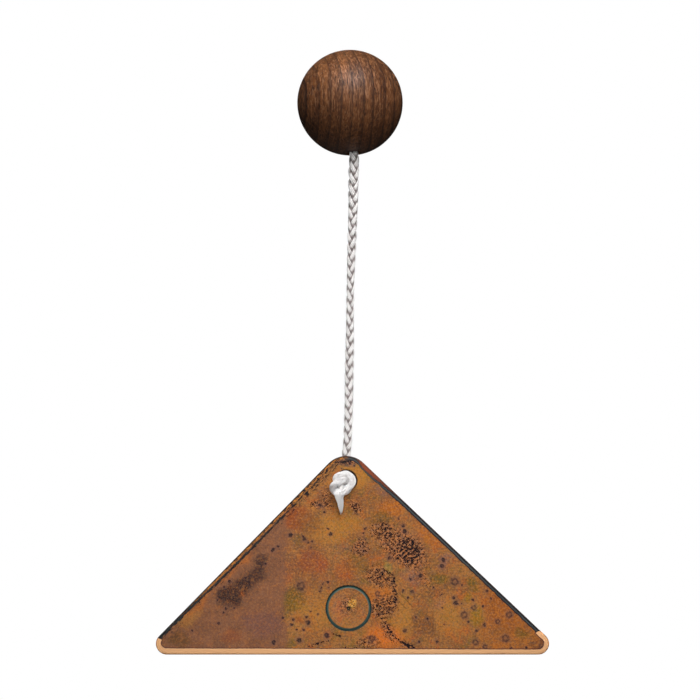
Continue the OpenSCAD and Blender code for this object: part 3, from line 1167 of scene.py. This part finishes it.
def ground_tones(at):
    """The tones under all patches: browner on the left, more orange on the right, and cloudy."""
    colour = mixed(ramp(at.clouds, 0.35, 0.65), seen(170, 116, 64), seen(138, 92, 56))
    colour = mixed(0.65 * ramp(at.veins, 0.52, 0.66), colour, seen(118, 98, 42))
    colour = mixed(0.7 * ramp(at.veins, 0.46, 0.34), colour, seen(188, 96, 40))
    brown = mixed(ramp(at.veins, 0.35, 0.65), seen(142, 96, 70), seen(124, 84, 63))
    colour = mixed(at.leftness, colour, brown)
    rightness = ramp(at.ragged_x, right_zone - 0.006, right_zone + 0.006) * at.front
    rusty = mixed(ramp(at.veins, 0.4, 0.62), seen(180, 106, 44), seen(150, 90, 46))
    return mixed(0.8 * rightness, colour, rusty)


def with_patches(at, colour):
    """The patches, which lie thinner and thicker in fine blotches."""
    tone = mixed(mark_of(at.tree, "patches", "Alpha"), colour, (0, 0, 0, 1))
    tone = mixed(1.0, tone, mark_of(at.tree, "patches", "Color"), "ADD")
    return mixed(0.5 + 0.5 * ramp(at.mid, 0.25, 0.55), colour, tone)


def mottled(at, colour):
    """Fine mottling: faint in the brown left zone, strong where the black scale gathers."""
    gathered = ramp(mark_of(at.tree, "thickness"), 0.2, 0.7)
    lively = 0.8 - 0.4 * at.leftness + gathered
    cool = grain(stretched(at.place, (1.3, 1.3, 1)), 0.0011, 2, 0.65)
    for cloud, low, high, strength, tone in (
        (at.mid, 0.52, 0.66, 0.45, seen(120, 84, 60)),
        (at.mid, 0.48, 0.35, 0.4, seen(204, 124, 50)),
        (at.fine, 0.5, 0.64, 0.6, seen(214, 140, 70)),
        (at.fine, 0.5, 0.36, 0.6, seen(86, 58, 44)),
        (cool, 0.53, 0.66, 0.4, seen(124, 104, 92)),
        (cool, 0.47, 0.34, 0.4, seen(196, 108, 34)),
    ):
        colour = mixed(ramp(cloud, low, high) * strength * lively, colour, tone)
    return colour


def with_scale(at, colour):
    """Black scale in curls and cracks, with paler copper between them; also gives its cover."""
    thickness = mark_of(at.tree, "thickness")
    for crack in cracks:
        thickness = thickness + 3.0 * patch(at.ragged, *crack, 0.5) * at.front
    curl = grain(at.place, 0.0008, 2, 0.6, 1.2)
    broken = grain(stretched(at.place, (1, 1.1, 1)), 0.0010, 2, 0.6)
    thick = 0.095 * thickness - abs(curl - 0.5)
    scale = ramp(thick, 0.001, 0.008) * ramp(broken, 0.44, 0.48)
    colour = mixed(0.35 * ramp(thickness, 0.2, 0.7), colour, seen(196, 128, 82))
    colour = mixed(scale, colour, seen(22, 22, 28))
    for scratch in scratches:
        mask = patch(at.place, *scratch, 0.4) * at.front
        colour = mixed(0.55 * mask, colour, tones["olive_dark"])
    return colour, scale


def with_specks(at, colour):
    """Dark specks, each in a faint mauve halo, some of them with a light middle."""
    to_speck, to_eye = nearest(at.ragged, specks), nearest(at.ragged, eyes)
    halo = ramp(maths("MINIMUM", to_speck, to_eye), 2.4, 1.0)
    colour = mixed(0.45 * halo * at.front, colour, seen(126, 88, 74))
    eye_rim = ramp(to_eye, 1.5, 1.0) * ramp(to_eye, 0.3, 0.75)
    dark_spot = maths("MAXIMUM", ramp(to_speck, 1.15, 0.8), 0.75 * eye_rim)
    crumbled = 0.6 + 0.35 * ramp(at.fine, 0.60, 0.46)
    return mixed(dark_spot * crumbled * at.front, colour, seen(38, 33, 38))


def with_ring(at, colour, scale):
    """Verdigris in the ring groove and bare copper at the punch mark; also gives the groove."""
    from_ring = vector("DISTANCE", at.place, (*(ring_centre - hole_centre), plate_t / 2), output=1)
    bare = patch(at.ragged, 2.2, -45.3, 1.5, 1.9, -20, 0.3) * (1.0 - scale) * at.front
    gold = mixed(ramp(at.fine, 0.40, 0.60), seen(226, 148, 46), seen(218, 172, 92))
    colour = mixed(bare, colour, gold)
    wavering = 0.0003 * at.fine + from_ring
    # Faint circles left by the turning of the ring
    circles = maths("SINE", wavering * (2 * math.pi / 0.0009))
    in_ring = ramp(from_ring, groove_mid, groove_mid - 0.001) * at.front
    colour = mixed(0.2 * ramp(circles, 0.2, 1.0) * in_ring, colour, tones["salmon"])
    off_groove = abs(wavering - (groove_mid + 0.00015))
    in_groove = ramp(off_groove, ring_w * 0.56, ring_w * 0.44) * at.front
    inner_half = ramp(wavering, groove_mid - 0.0004, groove_mid + 0.0004)
    verdigris = mixed(inner_half, seen(88, 112, 104), seen(36, 56, 55))
    colour = mixed(in_groove, colour, verdigris)
    in_punch = ramp(wavering, punch_r * 1.25, punch_r * 0.9) * at.front
    return mixed(in_punch, colour, seen(36, 50, 44)), in_groove


def with_left_edge(at, colour):
    """Left slanted edge: a dark outer line, orange streaks, and a ragged black line inside them."""
    upper = ramp(at.y, -0.054, -0.030)
    near_apex = ramp(at.y, -0.026, -0.004)
    line_at = 0.0009 * upper + 0.0009
    off_line = abs(at.inset - (0.0018 * (at.streak - 0.5) + line_at))
    line_half = 0.00052 - 0.00012 * upper - 0.0003 * near_apex + 0.0012 * (at.mid - 0.5)
    inner_line = ramp(off_line - line_half, 0.00012, -0.00008)
    dashes = ramp(0.10 * near_apex + at.streak, 0.60, 0.64) * ramp(at.inset, 0.0042, 0.0026)
    black = maths("MAXIMUM", inner_line, dashes)
    black = maths("MAXIMUM", black, ramp(at.inset, 0.00052, 0.00036))
    streaks = mixed(ramp(at.streak, 0.42, 0.58), seen(196, 124, 54), seen(106, 70, 48))
    edge = mixed(ramp(at.inset, line_at, 0.0006), colour, streaks)
    blacks = mixed(ramp(at.streak, 0.56, 0.42), seen(34, 33, 36), seen(54, 59, 58))
    edge = mixed(black, edge, blacks)
    return mixed(ramp(at.x, 0.0015, -0.0015) * at.on_slant, colour, edge)


def with_right_edge(at, colour):
    """Right slanted edge: a wide dark stripe, with red oxide outside it near the apex."""
    sliver = ramp(at.x, 0.003, 0.0065) * ramp(at.x, 0.023, 0.006)
    stripe_at = 0.0009 * sliver + 0.00098 + 0.0009 * (at.mid - 0.5)
    stripe_half = 0.00064 - 0.00032 * sliver + 0.0006 * (at.fine - 0.5)
    off_stripe = abs(at.inset - stripe_at)
    outside = ramp(at.inset - stripe_at, 0.0, -0.0002)
    edge = mixed(outside, colour, mixed(sliver, seen(64, 45, 39), seen(138, 70, 46)))
    middle = ramp(off_stripe, 0.00045, 0.00010) * (0.6 * ramp(at.streak, 0.40, 0.60) + 0.4)
    dark = mixed(middle, seen(32, 33, 38), seen(76, 81, 82))
    edge = mixed(ramp(off_stripe - stripe_half, 0.00012, -0.00008), edge, dark)
    return mixed(ramp(at.x, -0.0015, 0.0015) * at.on_slant, colour, edge)


def with_walls(at, colour):
    """The sawn walls are dull and mottled, with faint saw marks along them."""
    sawn = grain(stretched(at.place, (1, 1, 7)), 0.0022, 3, 0.65)
    colour = mixed(0.75 * at.on_wall, colour, seen(80, 57, 46))
    return mixed(0.65 * ramp(sawn, 0.44, 0.62) * at.on_wall, colour, seen(126, 82, 52))


def with_ground_band(at, colour):
    """Bottom edge, ground bright: it fades up round both lower corners. Also gives the band."""
    top = ramp(at.x, -0.0001, 0.0001) * (ground_tops[1] - ground_tops[0]) + ground_tops[0]
    kept = ramp(at.above_base - top, 0.0, -ground_taper)
    low = ramp(at.above_base, ground_turn[1], ground_turn[0])
    under_hole = ground_reach - ground_side + ground_skew * hole_centre[0]
    reach = (at.x * ground_skew + under_hole) * low + (ground_side + ground_clear)
    reach = reach * kept - ground_clear + 0.0005 * (at.mid - 0.5)
    inside = reach - at.inset
    colour = mixed(ramp(inside, -0.00042, -0.00018), colour, seen(84, 54, 54))
    passes = maths("SINE", at.inset * (2 * math.pi / 0.00075))
    bright = mixed(ramp(passes, 0.2, 1.0), seen(250, 194, 141), seen(244, 176, 121))
    # Painted shade: the band's outermost rounding, turning away from the light, is darker orange
    bright = mixed(ramp(at.inset, 0.0004, 0.0002), bright, seen(222, 138, 70))
    ground = ramp(inside, -0.00008, 0.00008)
    return mixed(ground, colour, bright), ground


def with_hole_edge(at, colour):
    """Painted shade on the hole's edge, darkest beside the knot, for the shaded inside of the hole.
    """
    from_hole = vector("LENGTH", place_at(at.x, at.y), output=1)
    edge = ramp(from_hole, hole_r + 0.0008, hole_r + 0.0004)
    by_knot = ramp(0.5 * at.x + at.y, -0.0012, 0.0006)
    return mixed(edge * (0.7 * by_knot + 0.25), colour, seen(34, 31, 36))


# The lamp that lights the knot falls on the copper too, which is darkened to allow for it
copper_allowance = seen(229, 229, 229)


def copper_finish():
    """Copper with a heat and verdigris patina; the bottom edge is ground bright."""
    material, tree, shader = new_finish("copper_patina")
    at = copper_places(tree)
    colour = mottled(at, with_patches(at, ground_tones(at)))
    colour, scale = with_scale(at, colour)
    colour, in_groove = with_ring(at, with_specks(at, colour), scale)
    colour = with_walls(at, with_right_edge(at, with_left_edge(at, colour)))
    colour, ground = with_ground_band(at, colour)
    colour = mixed(1.0, with_hole_edge(at, colour), copper_allowance, "MULTIPLY")
    rough = 0.25 * at.clouds + 0.42 + 0.25 * maths("MAXIMUM", scale, in_groove)
    rough = rough - 0.15 * ground + 0.25 * at.on_wall
    # The walls and the ground band are smooth, and the walls don't shine
    plain = maths("MAXIMUM", at.on_wall, ground)
    height = (0.5 * scale + 0.6 * at.fine + 0.8 * at.veins) * (1.0 - 0.9 * plain)
    feed(shader, {
        "Base Color": colour, "Roughness": rough, "Metallic": 0.1 * ground,
        "Specular IOR Level": 0.15 - 0.15 * at.on_wall * (1.0 - ground),
        "Normal": bumped(height, 0.00008),
    })
    return material


plate_points, plate_drawn, plate_faces = plate_mesh()
plate = new_piece("plate", plate_points, plate_faces)
mark_points(plate, "drawn", "FLOAT_VECTOR", plate_drawn)
mark_points(plate, "inset", "FLOAT", [inset_of(np.array(p[:2])) for p in plate_drawn])
patch_tones, scale_thickness = painted(np.array(plate_drawn))
mark_points(plate, "patches", "FLOAT_COLOR", patch_tones)
mark_points(plate, "thickness", "FLOAT", scale_thickness)
plate.data.materials.append(copper_finish())
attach(plate, "plate")
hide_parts("triangle_plate")


# The studio: four soft lamps in a dim room, one above in front, a broad one to the right behind the
# camera, a small low one for the knot and the plate, and one behind. The floor lies far below and
# is grey, so that the ball's underside is dark, but the camera sees only white.
floor_below = 0.62
floor_half = 3.0
floor_corners = [
    (x * floor_half, y * floor_half, -floor_below) for x, y in ((-1, -1), (1, -1), (1, 1), (-1, 1))
]


def seen_by(tree, kind):
    """1 where rays of that kind arrive, and 0 for all others."""
    return Flow(add_node(tree, "ShaderNodeLightPath"), f"Is {kind} Ray")


floor = new_piece("floor", floor_corners, [(0, 1, 2, 3)])
floor_material, floor_tree, floor_shader = new_finish("floor_pale")
feed(floor_shader, {
    "Base Color": seen(110, 108, 106), "Roughness": 0.9, "Emission Color": seen(255, 255, 255),
    "Emission Strength": seen_by(floor_tree, "Camera"),
})
floor.data.materials.append(floor_material)


def soft_lamp(name, place, aim, width, height, power, spread=180, shines=False):
    """An area lamp; only one that shines is seen in the gloss of the wood and the metal."""
    lamp = bpy.data.lights.new(name, "AREA")
    lamp.shape = "RECTANGLE"
    lamp.size, lamp.size_y, lamp.energy = width, height, power
    lamp.spread = math.radians(spread)
    holder = bpy.data.objects.new(name, lamp)
    holder.location = place
    holder.rotation_euler = (Vector(aim) - Vector(place)).to_track_quat("-Z", "Y").to_euler()
    holder.visible_glossy = shines
    bpy.context.scene.collection.objects.link(holder)


soft_lamp("lamp_key", (0.05, -0.56, 0.46), (0, 0, -0.03), 0.42, 0.26, 0.54, 44, True)
soft_lamp("lamp_front", (0.3, -1.4, 0.22), (0, 0, -0.08), 0.6, 0.6, 7.5)
soft_lamp("lamp_plate", (-0.05, -0.8, -0.26), (0, 0, -0.19), 0.15, 0.15, 0.085, 29)
soft_lamp("lamp_back", (-0.3, 1.3, 0.5), (0, 0, -0.08), 0.8, 0.8, 11)

world = bpy.data.worlds.new("studio")
bpy.context.scene.world = world
world.use_nodes = True
sky = world.node_tree
shown = maths("MAXIMUM", seen_by(sky, "Camera"), seen_by(sky, "Transmission"))
room = mixed(seen_by(sky, "Glossy"), seen(92, 92, 94), seen(36, 36, 37))
feed(sky.nodes["Background"], {
    "Color": mixed(shown, room, seen(255, 255, 255)), "Strength": 1.0,
})

bpy.context.scene.view_settings.view_transform = "Standard"
